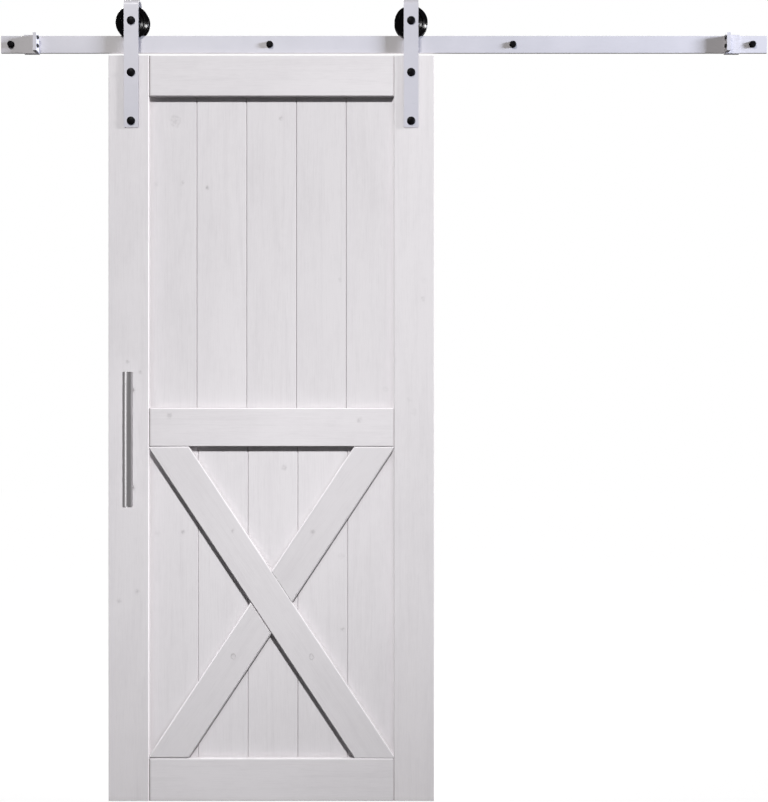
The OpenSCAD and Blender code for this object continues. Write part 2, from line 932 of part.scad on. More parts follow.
module inner_bearing_ring(x) {
    color(bare_steel)
        on_axle(x)
            difference() {
                translate([0, 0, -bearing_width / 2])
                    cylinder(r = ring_inside_r, h = bearing_width);
                translate([0, 0, -bearing_width / 2 - eps])
                    cylinder(r = axle_r, h = bearing_width + 2 * eps);
                rotate_extrude()
                    translate([ball_circle, 0])
                        circle(r = race_r);
            }
}

module outer_bearing_ring(x) {
    color(bare_steel)
        on_axle(x)
            difference() {
                translate([0, 0, -bearing_width / 2])
                    cylinder(r = bearing_r, h = bearing_width);
                translate([0, 0, -bearing_width / 2 - eps])
                    cylinder(r = ring_outside_r, h = bearing_width + 2 * eps);
                rotate_extrude()
                    translate([ball_circle, 0])
                        circle(r = race_r);
            }
}

module balls(x) {
    color(bare_steel)
        on_axle(x)
            for (i = [0 : ball_count - 1])
                rotate([0, 0, i * 360 / ball_count])
                    translate([ball_circle, 0, 0])
                        sphere(r = ball_r, $fn = 24);
}

module left_bearing_inner_ring() { inner_bearing_ring(left_hanger_x); }
module right_bearing_inner_ring() { inner_bearing_ring(right_hanger_x); }
module left_bearing_outer_ring() { outer_bearing_ring(left_hanger_x); }
module right_bearing_outer_ring() { outer_bearing_ring(right_hanger_x); }
module left_bearing_balls() { balls(left_hanger_x); }
module right_bearing_balls() { balls(right_hanger_x); }

// the wheel's half section: hub, dished web, rim with the groove that holds the bar
module wheel_section() {
    half = wheel_width / 2;
    floor_half = track_thick / 2 + groove_fit;
    mouth_half = floor_half + groove_flare;
    hub_r = bearing_r + hub_wall;
    rim_r = groove_r - rim_wall;
    lip_r = bearing_r - bearing_lip;
    seat = bearing_width / 2;
    polygon([
        [bearing_r, -half], [hub_r, -half], [hub_r + wheel_dish / 2, wheel_dish - half],
        [rim_r - wheel_dish / 2, wheel_dish - half], [rim_r, -half], [wheel_r - wheel_ease, -half],
        [wheel_r, wheel_ease - half], [wheel_r, -mouth_half], [groove_r, -floor_half],
        [groove_r, floor_half], [wheel_r, mouth_half], [wheel_r, half - wheel_ease],
        [wheel_r - wheel_ease, half], [rim_r, half], [rim_r - wheel_dish / 2, half - wheel_dish],
        [hub_r + wheel_dish / 2, half - wheel_dish], [hub_r, half], [lip_r, half],
        [lip_r, seat], [bearing_r, seat]
    ]);
}

module wheel(x) {
    color(black_steel)
        on_axle(x)
            rotate_extrude()
                wheel_section();
}

module left_wheel() { wheel(left_hanger_x); }
module right_wheel() { wheel(right_hanger_x); }

module strap_bolts() {
    color(black_steel)
        for (x = hanger_x)
            for (z = bolt_z)
                union() {
                    round_head(x, z, strap_inside - strap_thick);
                    rod_y(x, z, strap_inside - strap_thick - 1, door_front + strap_bolt_reach, strap_bolt_r);
                }
}

module strap_barrel_nuts() {
    color(bare_steel)
        for (x = hanger_x)
            for (z = bolt_z)
                difference() {
                    union() {
                        rod_y(x, z, door_back - barrel_length, door_back + barrel_flange, barrel_r);
                        rod_y(x, z, door_back, door_back + barrel_flange, barrel_flange_r);
                    }
                    rod_y(x, z, door_back - barrel_length - eps, door_front + strap_bolt_reach + 2,
                        strap_bolt_r);
                    translate([x, door_back + barrel_flange - barrel_socket, z])
                        rotate([-90, 0, 0])
                            cylinder(r = barrel_socket_r, h = barrel_socket + eps, $fn = 6);
                }
}

module handle_bar() {
    color(bare_steel)
        difference() {
            translate([handle_x, handle_y, handle_z - handle_length / 2 + cap_thick])
                cylinder(r = handle_r, h = handle_length - 2 * cap_thick);
            translate([handle_x, handle_y, handle_z - handle_length / 2 - eps])
                cylinder(r = handle_r - handle_wall, h = handle_length + 2 * eps);
        }
}

// a post coped to the tube and tapped for its screw
module handle_post(z) {
    color(bare_steel)
        difference() {
            rod_y(handle_x, z, handle_y, door_front, post_r);
            translate([handle_x, handle_y, z - 3 * post_r])
                cylinder(r = handle_r, h = 6 * post_r);
            rod_y(handle_x, z, door_front - handle_screw_reach - 2, door_front + eps, handle_screw_r);
        }
}

module handle_top_post() { handle_post(post_z[0]); }
module handle_bottom_post() { handle_post(post_z[1]); }

module handle_end_caps() {
    inside = handle_r - handle_wall;
    color(bare_steel)
        for (turn = [0, 180])
            translate([handle_x, handle_y, handle_z])
                rotate([turn, 0, 0])
                    translate([0, 0, handle_length / 2 - cap_thick])
                        union() {
                            cylinder(r = handle_r, h = cap_thick);
                            translate([0, 0, -cap_plug])
                                cylinder(r = inside, h = cap_plug + cap_thick / 2);
                        }
}

module handle_screws() {
    seat = door_back + handle_washer;
    top = seat + handle_screw_head;
    color(bare_steel)
        for (z = post_z)
            difference() {
                union() {
                    rod_y(handle_x, z, door_front - handle_screw_reach, seat + 1, handle_screw_r);
                    rod_y(handle_x, z, seat, top, handle_screw_head_r);
                }
                translate([handle_x, top - screw_socket, z])
                    rotate([-90, 0, 0])
                        cylinder(r = screw_socket_r, h = screw_socket + eps, $fn = 6);
            }
}

module handle_washers() {
    color(bare_steel)
        for (z = post_z)
            difference() {
                rod_y(handle_x, z, door_back, door_back + handle_washer, handle_washer_r);
                rod_y(handle_x, z, door_back - eps, door_back + handle_washer + eps,
                    handle_screw_r + wood_fit);
            }
}

track_bar();
left_stop();
right_stop();
left_stop_bumpers();
right_stop_bumpers();
stop_grub_screws();
spacer_1();
spacer_2();
spacer_3();
spacer_4();
lag_bolts();
lag_washers();
left_stile();
right_stile();
top_rail();
middle_rail();
bottom_rail();
upper_plank_1();
upper_plank_2();
upper_plank_3();
upper_plank_4();
upper_plank_5();
lower_plank_1();
lower_plank_2();
lower_plank_3();
lower_plank_4();
lower_plank_5();
long_brace();
upper_half_brace();
lower_half_brace();
frame_dowels();
brace_screws();
handle_bar();
handle_top_post();
handle_bottom_post();
handle_end_caps();
handle_screws();
handle_washers();
left_strap();
right_strap();
left_axle_bolt();
right_axle_bolt();
axle_nuts();
left_axle_bushes();
right_axle_bushes();
left_bearing_inner_ring();
right_bearing_inner_ring();
strap_bolts();
strap_barrel_nuts();
left_wheel();
right_wheel();
left_bearing_outer_ring();
right_bearing_outer_ring();
left_bearing_balls();
right_bearing_balls();
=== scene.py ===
# %% [markdown]
# # A white sliding barn door
# The door is a pine frame with two panels of planks, painted white. It hangs from a flat steel bar
# by two bent straps and two grooved wheels. The solids come from the CAD model and already have the
# right size and place, so this lesson only dresses them: softer edges, turned parts, paint and light.

# %% Load the frame
import json
import math

import bmesh
import bpy
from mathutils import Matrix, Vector


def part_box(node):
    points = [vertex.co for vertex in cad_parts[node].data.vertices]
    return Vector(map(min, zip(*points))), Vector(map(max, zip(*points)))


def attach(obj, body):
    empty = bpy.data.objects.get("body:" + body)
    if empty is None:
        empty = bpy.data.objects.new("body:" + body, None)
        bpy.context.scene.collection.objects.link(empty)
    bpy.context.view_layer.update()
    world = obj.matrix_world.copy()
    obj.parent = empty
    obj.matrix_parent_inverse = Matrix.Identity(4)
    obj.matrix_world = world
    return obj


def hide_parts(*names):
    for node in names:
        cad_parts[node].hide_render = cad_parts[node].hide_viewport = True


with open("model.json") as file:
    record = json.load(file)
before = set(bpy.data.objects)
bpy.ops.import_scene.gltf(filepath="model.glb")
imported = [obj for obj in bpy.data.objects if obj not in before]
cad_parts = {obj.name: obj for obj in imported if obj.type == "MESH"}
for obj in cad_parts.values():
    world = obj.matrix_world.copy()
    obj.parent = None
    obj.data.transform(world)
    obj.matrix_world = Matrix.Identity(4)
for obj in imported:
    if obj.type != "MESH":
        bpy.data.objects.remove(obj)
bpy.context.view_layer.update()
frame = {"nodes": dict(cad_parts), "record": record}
record = frame["record"]
body_of_node = {}
for body, members in record["behaviour"]["bodies"].items():
    for member in members:
        body_of_node[member] = body
slot_of_node = {row["node"]: row["material_slot"] for row in record["subparts"]}

# %% [markdown]
# ## Writing a finish as a graph
# A procedural finish is a graph of nodes that ends in the Principled shader. Placing nodes by mouse
# is fine for one finish, but here many boards need the same graph with other numbers. So small
# helpers add a node, mix two colours, scale a value or make a noise, and each finish below reads
# like a recipe.

# %% Helpers that add nodes
def new_finish(name):
    finish = bpy.data.materials.new(name)
    finish.use_nodes = True
    tree = finish.node_tree
    return finish, tree, tree.nodes["Principled BSDF"]


def put(tree, kind, inputs=None, **settings):
    node = tree.nodes.new(kind)
    for key, value in settings.items():
        setattr(node, key, value)
    for key, value in (inputs or {}).items():
        socket = node.inputs[key]
        if isinstance(value, bpy.types.NodeSocket):
            tree.links.new(value, socket)
        else:
            socket.default_value = value
    return node


def mixed(tree, share, first, second):
    node = put(tree, "ShaderNodeMix", data_type="RGBA")
    for index, value in ((0, share), (6, first), (7, second)):
        if isinstance(value, bpy.types.NodeSocket):
            tree.links.new(value, node.inputs[index])
        else:
            node.inputs[index].default_value = value
    return node.outputs[2]


def scaled(tree, value, low, high, to_low, to_high, smooth=False):
    kind = "SMOOTHSTEP" if smooth else "LINEAR"
    inputs = {"Value": value, "From Min": low, "From Max": high, "To Min": to_low, "To Max": to_high}
    return put(tree, "ShaderNodeMapRange", inputs, interpolation_type=kind).outputs["Result"]


def sums(tree, operation, first, second):
    return put(tree, "ShaderNodeMath", {0: first, 1: second}, operation=operation).outputs[0]


def vectors(tree, operation, first, second=(0, 0, 0)):
    return put(tree, "ShaderNodeVectorMath", {0: first, 1: second}, operation=operation).outputs[0]


def length(tree, arrow):
    return put(tree, "ShaderNodeVectorMath", {0: arrow}, operation="LENGTH").outputs["Value"]


def distance(tree, value, line):
    off = sums(tree, "SUBTRACT", value, line)
    return put(tree, "ShaderNodeMath", {0: off}, operation="ABSOLUTE").outputs[0]


print("helpers that add nodes are ready")


# %% Helpers for noise, place and relief
def noise(tree, place, scale, detail=3.0, rough=0.5, twist=0.0):
    inputs = {"Vector": place, "Scale": scale, "Detail": detail, "Roughness": rough, "Distortion": twist}
    return put(tree, "ShaderNodeTexNoise", inputs).outputs["Fac"]


def moved(tree, place, turn=(0, 0, 0), shift=(0, 0, 0), scale=(1, 1, 1)):
    inputs = {"Vector": place, "Rotation": turn, "Location": shift, "Scale": scale}
    return put(tree, "ShaderNodeMapping", inputs).outputs["Vector"]


def relief(tree, height, depth, strength=0.5):
    inputs = {"Height": height, "Distance": depth, "Strength": strength}
    return put(tree, "ShaderNodeBump", inputs).outputs["Normal"]


def own_place(tree):
    return put(tree, "ShaderNodeTexCoord").outputs["Object"]


print("helpers for noise, place and relief are ready")

# %% [markdown]
# ## White paint on knotty pine
# Two coats of white paint don't hide pine. The grain stands through as long faint streaks along
# each board, and knots bleed through as small grey spots with a ring. One image for the whole door
# would repeat and would run across the joints. So each board gets its own copy of one graph: its
# grain is turned to the board's run, shifted by a seed, and holds only this board's knots.
# The paint also holds painted shade: dark lines at the rails' ends and beside the left stile, and a
# darkening towards the stiles' feet and in every inner corner. Painting that by hand would be lost with
# the next change of shape, so the graph finds the corners itself with an Ambient Occlusion node, and the
# rest by its place on the door.

# %% Measures of the door, read from the frame
door_low, door_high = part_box("left_stile")
door_left = door_low[0]
door_top, door_foot = door_high[2], door_low[2]
door_front = door_low[1]
open_left = door_high[0]
open_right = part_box("right_stile")[0][0]
brace_low, brace_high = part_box("long_brace")
brace_cut, brace_trim = 0.1187, 0.005
brace_run = brace_high[0] - brace_low[0] + 2 * brace_trim - brace_cut
brace_lean = math.atan2(brace_run, brace_high[2] - brace_low[2])
print("door top", round(door_top, 4), "front", round(door_front, 4))
print("the braces lean by", round(math.degrees(brace_lean), 2), "degrees")

# %% Knots that show through the paint
knot_grey = (0.27, 0.25, 0.26, 1)
knot_wobble = (0.014, 0, 0.014)
ring_at, ring_width = 0.62, 0.38


def knot_mask(tree, place, knots):
    inputs = {"Vector": place, "Scale": 60.0, "Detail": 2.0}
    wobble = put(tree, "ShaderNodeTexNoise", inputs).outputs["Color"]
    centred = vectors(tree, "SUBTRACT", wobble, (0.5, 0.5, 0.5))
    bent = vectors(tree, "ADD", place, vectors(tree, "MULTIPLY", centred, knot_wobble))
    total = None
    for from_left, below_top, radius, dark, ring in knots:
        size = radius / 1000
        middle = (door_left + from_left / 1000, 0, door_top - below_top / 1000)
        away = vectors(tree, "SUBTRACT", bent, middle)
        far = length(tree, vectors(tree, "MULTIPLY", away, (1, 0, 0.85)))
        spot = scaled(tree, far, 0.1 * size, 0.95 * size, dark, 0.0, True)
        off_ring = distance(tree, far, ring_at * size)
        halo = scaled(tree, off_ring, 0.0, ring_width * size, ring, 0.0, True)
        spot = sums(tree, "MAXIMUM", spot, halo)
        total = spot if total is None else sums(tree, "MAXIMUM", total, spot)
    broken = scaled(tree, noise(tree, place, 130.0, 2.0), 0.35, 0.65, 0.25, 1.25)
    return sums(tree, "MULTIPLY", total, broken)


print("knots are placed from the door's upper left corner, at", round(door_left, 3), round(door_top, 3))

# %% Painted shade at the joints, at the feet and in the corners
# painted shade: one grey darkens the rails' ends, the plank edges beside the left stile, the stiles' feet
# and the inner corners
painted_shade_grey = (0.40, 0.375, 0.38, 1)
# painted shade: the stiles grow darker towards their feet
foot_shade = {"left_stile": 0.17, "right_stile": 0.20}
foot_shade_reach = 0.55
# painted shade: how much the inner corners are darkened, and how far it reaches
corner_shade, corner_reach = 0.45, 0.03


# painted shade: dark bands along given upright lines of a board
def painted_shade_mask(tree, place, lines):
    across = put(tree, "ShaderNodeSeparateXYZ", {0: place}).outputs["X"]
    total = None
    for line, reach, dark in lines:
        band = scaled(tree, distance(tree, across, line), 0.0, reach, dark, 0.0, True)
        total = band if total is None else sums(tree, "MAXIMUM", total, band)
    return total


# mixes painted shade into the paint colour: lines at the joints, darkening towards the feet and in the
# inner corners
def with_painted_shade(tree, name, place, colour, shade_lines):
    if shade_lines:
        colour = mixed(tree, painted_shade_mask(tree, place, shade_lines), colour, painted_shade_grey)
    # painted shade: darker towards the foot of each stile
    if name in foot_shade:
        above = put(tree, "ShaderNodeSeparateXYZ", {0: place}).outputs["Z"]
        low = scaled(tree, above, door_foot, door_foot + foot_shade_reach, foot_shade[name], 0.0)
        colour = mixed(tree, low, colour, painted_shade_grey)
    # painted shade in the inner corners, found with an Ambient Occlusion node
    inputs = {"Distance": corner_reach}
    corner = put(tree, "ShaderNodeAmbientOcclusion", inputs, samples=8).outputs["AO"]
    return mixed(tree, scaled(tree, corner, 0.5, 0.9, corner_shade, 0.0), colour, painted_shade_grey)


# the inner corners and the stiles' feet get painted shade
print("dust lies in corners within", corner_reach, "m and up to", foot_shade_reach, "m above the feet")

# %% The paint
paint_white = (0.800, 0.775, 0.800, 1)
paint_streak = (0.69, 0.665, 0.69, 1)


def painted_pine(name, lean, seed, tone, knots, shade_lines):
    finish, tree, shader = new_finish("painted_pine_" + name)
    place = own_place(tree)
    board = moved(tree, place, (0, -lean, 0), (0.37 * seed, 0.19 * seed, 0.71 * seed))
    long_grain = moved(tree, board, scale=(1, 1, 0.05))
    cloudy = noise(tree, moved(tree, board, scale=(1, 1, 0.45)), 8.0, 3.0, 0.55, 0.6)
    mottle = noise(tree, moved(tree, board, scale=(1, 1, 0.6)), 60.0, 3.0, 0.6)
    rings = noise(tree, long_grain, 48.0, 4.0, 0.6, 0.9)
    fibre = noise(tree, long_grain, 300.0, 3.0, 0.65)
    brush = noise(tree, moved(tree, board, scale=(1, 1, 0.015)), 800.0, 2.0)
    streak = scaled(tree, rings, 0.45, 0.72, 0.0, 0.26, True)
    hairline = scaled(tree, fibre, 0.48, 0.76, 0.0, 0.34)
    shade = sums(tree, "ADD", streak, hairline)
    shade = sums(tree, "ADD", shade, scaled(tree, cloudy, 0.3, 0.7, -0.14, 0.20))
    shade = sums(tree, "ADD", shade, scaled(tree, mottle, 0.35, 0.75, -0.05, 0.12))
    white, streak_grey = ([tone * c for c in paint[:3]] + [1] for paint in (paint_white, paint_streak))
    colour = mixed(tree, shade, white, streak_grey)
    height = sums(tree, "MULTIPLY", rings, 0.5)
    height = sums(tree, "ADD", height, sums(tree, "MULTIPLY", fibre, 0.6))
    height = sums(tree, "ADD", height, sums(tree, "MULTIPLY", brush, 0.35))
    if knots:
        spots = knot_mask(tree, place, knots)
        colour = mixed(tree, spots, colour, knot_grey)
        height = sums(tree, "SUBTRACT", height, spots)
    # painted shade at the joints, towards the feet and in the inner corners
    colour = with_painted_shade(tree, name, place, colour, shade_lines)
    tree.links.new(colour, shader.inputs["Base Color"])
    shader.inputs["Specular IOR Level"].default_value = 0.35
    tree.links.new(scaled(tree, fibre, 0.3, 0.7, 0.52, 0.66), shader.inputs["Roughness"])
    tree.links.new(relief(tree, height, 0.0007, 0.5), shader.inputs["Normal"])
    return finish


print("paint: the grain lies along each board")

# %% [markdown]
# ## Steel, black fasteners, wheels and rubber
# The bar, straps and stops are powder coated: a white skin with a very fine orange peel. Bolts are
# black and satin, wheels are glossy moulded nylon with faint turning rings and a dull track where
# they roll. The handle is stainless steel brushed along its length. Each finish varies in roughness,
# because an even gloss is what gives a computer picture away.

# %% White powder coat
def white_coat():
    finish, tree, shader = new_finish("white_powder_coat")
    place = own_place(tree)
    peel = noise(tree, place, 620.0, 2.0, 0.5)
    cloud = noise(tree, place, 9.0, 3.0)
    scuff = noise(tree, moved(tree, place, scale=(0.2, 1, 1)), 130.0, 4.0, 0.65, 0.5)
    light, dull, scuffed = (0.61, 0.58, 0.59, 1), (0.565, 0.54, 0.55, 1), (0.40, 0.39, 0.40, 1)
    colour = mixed(tree, scaled(tree, cloud, 0.3, 0.7, 0.0, 1.0), light, dull)
    colour = mixed(tree, scaled(tree, scuff, 0.62, 0.8, 0.0, 0.3), colour, scuffed)
    tree.links.new(colour, shader.inputs["Base Color"])
    tree.links.new(scaled(tree, scuff, 0.3, 0.75, 0.34, 0.52), shader.inputs["Roughness"])
    tree.links.new(relief(tree, peel, 0.00007, 0.35), shader.inputs["Normal"])
    return finish


print("powder coat: white with a fine orange peel")


# %% Black fasteners and rubber
def black_coat():
    finish, tree, shader = new_finish("black_satin_steel")
    place = own_place(tree)
    grit = noise(tree, place, 900.0, 3.0, 0.6)
    wear = noise(tree, place, 160.0, 4.0, 0.65)
    black, worn = (0.004, 0.0035, 0.004, 1), (0.02, 0.019, 0.02, 1)
    colour = mixed(tree, scaled(tree, wear, 0.55, 0.8, 0.0, 0.6), black, worn)
    shader.inputs["Specular IOR Level"].default_value = 0.05
    tree.links.new(colour, shader.inputs["Base Color"])
    tree.links.new(scaled(tree, wear, 0.3, 0.7, 0.30, 0.46), shader.inputs["Roughness"])
    tree.links.new(relief(tree, grit, 0.00015, 0.3), shader.inputs["Normal"])
    return finish


def bumper_rubber():
    finish, tree, shader = new_finish("black_rubber")
    place = own_place(tree)
    pores = noise(tree, place, 1500.0, 2.0, 0.7)
    dust = noise(tree, place, 140.0, 3.0, 0.6)
    black, dusty = (0.012, 0.012, 0.012, 1), (0.035, 0.034, 0.033, 1)
    colour = mixed(tree, scaled(tree, dust, 0.4, 0.75, 0.0, 1.0), black, dusty)
    tree.links.new(colour, shader.inputs["Base Color"])
    tree.links.new(scaled(tree, dust, 0.3, 0.7, 0.62, 0.85), shader.inputs["Roughness"])
    tree.links.new(relief(tree, pores, 0.0002, 0.5), shader.inputs["Normal"])
    return finish


print("black steel: satin, rubber: matt")


# %% Wheel nylon
def wheel_nylon(name, centre, groove_radius):
    finish, tree, shader = new_finish("gloss_nylon_" + name)
    place = own_place(tree)
    away = vectors(tree, "SUBTRACT", place, tuple(centre))
    radius = length(tree, vectors(tree, "MULTIPLY", away, (1, 0, 1)))
    line = put(tree, "ShaderNodeCombineXYZ", {"X": radius}).outputs["Vector"]
    rings = noise(tree, line, 1400.0, 2.0, 0.6)
    scratch = noise(tree, place, 240.0, 4.0, 0.7, 0.6)
    rolled = scaled(tree, radius, groove_radius + 0.0004, groove_radius + 0.002, 1.0, 0.0, True)
    black, scratched = (0.0016, 0.0012, 0.0016, 1), (0.006, 0.005, 0.006, 1)
    colour = mixed(tree, scaled(tree, scratch, 0.6, 0.8, 0.0, 0.3), black, scratched)
    shader.inputs["Specular IOR Level"].default_value = 0.1
    gloss = scaled(tree, scratch, 0.35, 0.75, 0.05, 0.12)
    gloss = sums(tree, "ADD", gloss, sums(tree, "MULTIPLY", rolled, 0.08))
    tree.links.new(colour, shader.inputs["Base Color"])
    tree.links.new(gloss, shader.inputs["Roughness"])
    tree.links.new(relief(tree, rings, 0.00001, 0.25), shader.inputs["Normal"])
    return finish


print("nylon: gloss, duller where the wheel rolls")


# %% Bare metals and bare wood
def brushed_steel(name, tint, along, rough_low, rough_high):
    finish, tree, shader = new_finish(name)
    place = own_place(tree)
    lines = noise(tree, moved(tree, place, scale=along), 1300.0, 3.0, 0.6)
    smear = noise(tree, moved(tree, place, scale=along), 90.0, 2.0)
    dark = tuple(0.86 * c for c in tint[:3]) + (1,)
    colour = mixed(tree, scaled(tree, lines, 0.3, 0.7, 0.0, 1.0), tint, dark)
    shader.inputs["Metallic"].default_value = 1.0
    tree.links.new(colour, shader.inputs["Base Color"])
    tree.links.new(scaled(tree, smear, 0.3, 0.7, rough_low, rough_high), shader.inputs["Roughness"])
    tree.links.new(relief(tree, lines, 0.00008, 0.35), shader.inputs["Normal"])
    return finish


def bare_beech():
    finish, tree, shader = new_finish("bare_beech")
    grain = noise(tree, moved(tree, own_place(tree), scale=(0.06, 1, 1)), 420.0, 4.0, 0.6)
    early, late = (0.66, 0.47, 0.29, 1), (0.48, 0.31, 0.17, 1)
    colour = mixed(tree, scaled(tree, grain, 0.35, 0.7, 0.0, 1.0), early, late)
    tree.links.new(colour, shader.inputs["Base Color"])
    tree.links.new(scaled(tree, grain, 0.3, 0.7, 0.5, 0.7), shader.inputs["Roughness"])
    tree.links.new(relief(tree, grain, 0.0003, 0.4), shader.inputs["Normal"])
    return finish


print("bare steel is brushed, bare beech has its grain along X")

# %% One finish for each slot of the record
stainless, zinc, ground = (0.60, 0.59, 0.60, 1), (0.60, 0.61, 0.63, 1), (0.68, 0.69, 0.71, 1)
finish_of_slot = {
    "white_coat": white_coat(),
    "black_coat": black_coat(),
    "bumper_rubber": bumper_rubber(),
    "handle_steel": brushed_steel("stainless_brushed", stainless, (1, 1, 0.012), 0.27, 0.33),
    "plain_steel": brushed_steel("zinc_plated", zinc, (1, 1, 1), 0.30, 0.48),
    "bearing_steel": brushed_steel("ground_steel", ground, (1, 0.05, 1), 0.12, 0.22),
    "dowel_wood": bare_beech(),
}
print("finishes:", ", ".join(sorted(f.name for f in finish_of_slot.values())))

# %% [markdown]
# ## Boards with eased arrises
# A CAD board has knife-sharp edges, and its mesh is split into triangles that share no corners.
# A Bevel modifier on it would find no edges to round. So each board is copied into a new mesh:
# corners are welded, flat triangles are dissolved into whole faces, and only the sharp edges are
# rounded by under a millimetre. The copy then stands in for the CAD board and moves with its body.

# %% A piece that stands in for a node
piece_of_node = {}


def dress(piece, node, finish):
    piece_of_node[node] = piece
    piece.data.materials.clear()
    piece.data.materials.append(finish)
    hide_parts(node)
    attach(piece, body_of_node[node])
    return piece


def shaded(mesh, angle):
    mesh.polygons.foreach_set("use_smooth", [True] * len(mesh.polygons))
    mesh.set_sharp_from_angle(angle=math.radians(angle))


def new_piece(name, work, angle=40):
    bmesh.ops.recalc_face_normals(work, faces=work.faces)
    mesh = bpy.data.meshes.new(name)
    work.to_mesh(mesh)
    work.free()
    shaded(mesh, angle)
    piece = bpy.data.objects.new(name, mesh)
    bpy.context.scene.collection.objects.link(piece)
    return piece


# %% [markdown]
# ## Wider arrises on the braces
# The braces' edges are planed wider than those of the other boards, and each shows as a thin light or
# dark line. A wider bevel would spoil the tips, because two edges meet there at a sharp angle. So every
# edge of the front face is shifted inward, and each corner goes to where its two shifted edges meet.
# The lower ends get twice the width. The edge that faces the light stays shallow, and so does the end
# of the upper half brace, which fits tightly against the long one.

# %% Shift the edges of a brace's front
weld = 0.000002
ring_depth, edge_reach = 0.003, 0.004
longest_tip, longest_butt = 0.02, 0.25
foot_share, lit_share, tight_shift = 2, 0.4, -0.0006


def meeting(first, second):
    (here, run), (there, other) = first, second
    gap = there - here
    return here + run * ((gap.x * other.z - gap.z * other.x) / (run.x * other.z - run.z * other.x))


def widen_arris(work, wide):
    front = max((f for f in work.faces if f.normal.y < -0.99), key=lambda f: f.calc_area())
    corners = list(front.verts)
    middle = front.calc_center_median()
    below = [v for v in work.verts if door_front + 0.0001 < v.co.y < door_front + ring_depth]
    lines, tips, shallow = [], [], []
    for here, after in zip(corners, corners[1:] + corners[:1]):
        run = after.co - here.co
        inward = Vector((-run.z, 0, run.x)).normalized()
        if inward.dot(middle - here.co) < 0:
            inward = -inward
        tip = run.length < longest_tip
        butt = run.length < longest_butt and abs(run.z) > 0.001
        lit = not butt and max(inward.x, inward.z) < -0.1
        tight = butt and not tip and min(inward.x, inward.z) > 0.1
        if lit or tight:
            shallow.append((here.co.copy(), inward))
        if butt:
            step = tight_shift if tight else 0
        else:
            step = wide * (foot_share if inward.z > 0.9 else lit_share if lit else 1)
        lines.append((here.co + inward * step, run))
        tips.append(tip)
    places = []
    for i in range(len(corners)):
        before = i - 2 if tips[i - 1] else i - 1
        after = (i + 1) % len(corners) if tips[i] else i
        places.append(meeting(lines[before], lines[after]))
    for corner, place in zip(corners, places):
        corner.co = place
    for corner in below:
        if not any(abs((corner.co - here).dot(inward)) < edge_reach for here, inward in shallow):
            corner.co.y += wide
    bmesh.ops.remove_doubles(work, verts=work.verts, dist=weld)


print("at its lower end a brace's arris grows by", foot_share, "times the width")


# %% A copy with rounded edges
def eased_copy(node, ease, steps=2, wider=0.0):
    work = bmesh.new()
    work.from_mesh(frame["nodes"][node].data)
    bmesh.ops.remove_doubles(work, verts=work.verts, dist=weld)
    flat = math.radians(0.5)
    bmesh.ops.dissolve_limit(work, angle_limit=flat, verts=work.verts, edges=work.edges)
    if wider:
        widen_arris(work, wider)
    limit = math.radians(28)
    sharp = [e for e in work.edges if e.is_convex and e.calc_face_angle(0.0) > limit]
    bmesh.ops.bevel(
        work, geom=sharp, offset=ease, offset_type="OFFSET", segments=steps,
        profile=0.5, affect="EDGES", clamp_overlap=True, harden_normals=False,
    )
    piece = new_piece(node + "_eased", work)
    piece.modifiers.new("even_normals", "WEIGHTED_NORMAL").keep_sharp = True
    return piece


print("copies are ready to be eased")

# %% The knots of each board: from the left, below the top, radius, darkness, ring
knots_of_board = {
    "left_stile": [
        (54, 877, 8.8, 0.28, 0.06), (91, 906, 7.5, 0.25, 0.06),
        (31, 1561, 8.8, 0.25, 0.06), (82, 1535, 10, 0.28, 0.09),
    ],
    "right_stile": [
        (900, 697, 8.8, 0.25, 0.07), (903, 643, 11.2, 0.1, 0.04),
        (860, 986, 10, 0.1, 0.04), (874, 1020, 11.2, 0.1, 0.06),
    ],
    "middle_rail": [(175, 1032, 11.2, 0.33, 0.09), (717, 1042, 11.2, 0.33, 0.09)],
    "upper_plank_1": [(188, 184, 19, 0.16, 0.14), (133, 365, 10, 0.12, 0.04), (208, 362, 8.8, 0.3, 0.07)],
    "upper_plank_2": [(280, 374, 8.8, 0.45, 0.09)],
    "upper_plank_3": [(491, 176, 8.8, 0.33, 0.07), (605, 670, 11.2, 0.09, 0.06)],
    "upper_plank_4": [(663, 641, 8.8, 0.35, 0.07)],
    "upper_plank_5": [(794, 955, 11.2, 0.12, 0.06)],
    "lower_plank_1": [(211, 1368, 10, 0.35, 0.09), (136, 1371, 11.2, 0.12, 0.06)],
    "lower_plank_3": [(502, 1180, 10, 0.33, 0.09)],
    "lower_plank_4": [(665, 1435, 11.2, 0.11, 0.06), (669, 1647, 10, 0.28, 0.07)],
    "long_brace": [(355, 1361, 8, 0.33, 0.1), (580, 1721, 9, 0.12, 0.4), (803, 1957, 9, 0.12, 0.35)],
    "upper_half_brace": [(583, 1364, 10, 0.35, 0.08)],
    "lower_half_brace": [(357, 1721, 9, 0.12, 0.4)],
}
print("knots:", sum(len(knots) for knots in knots_of_board.values()))

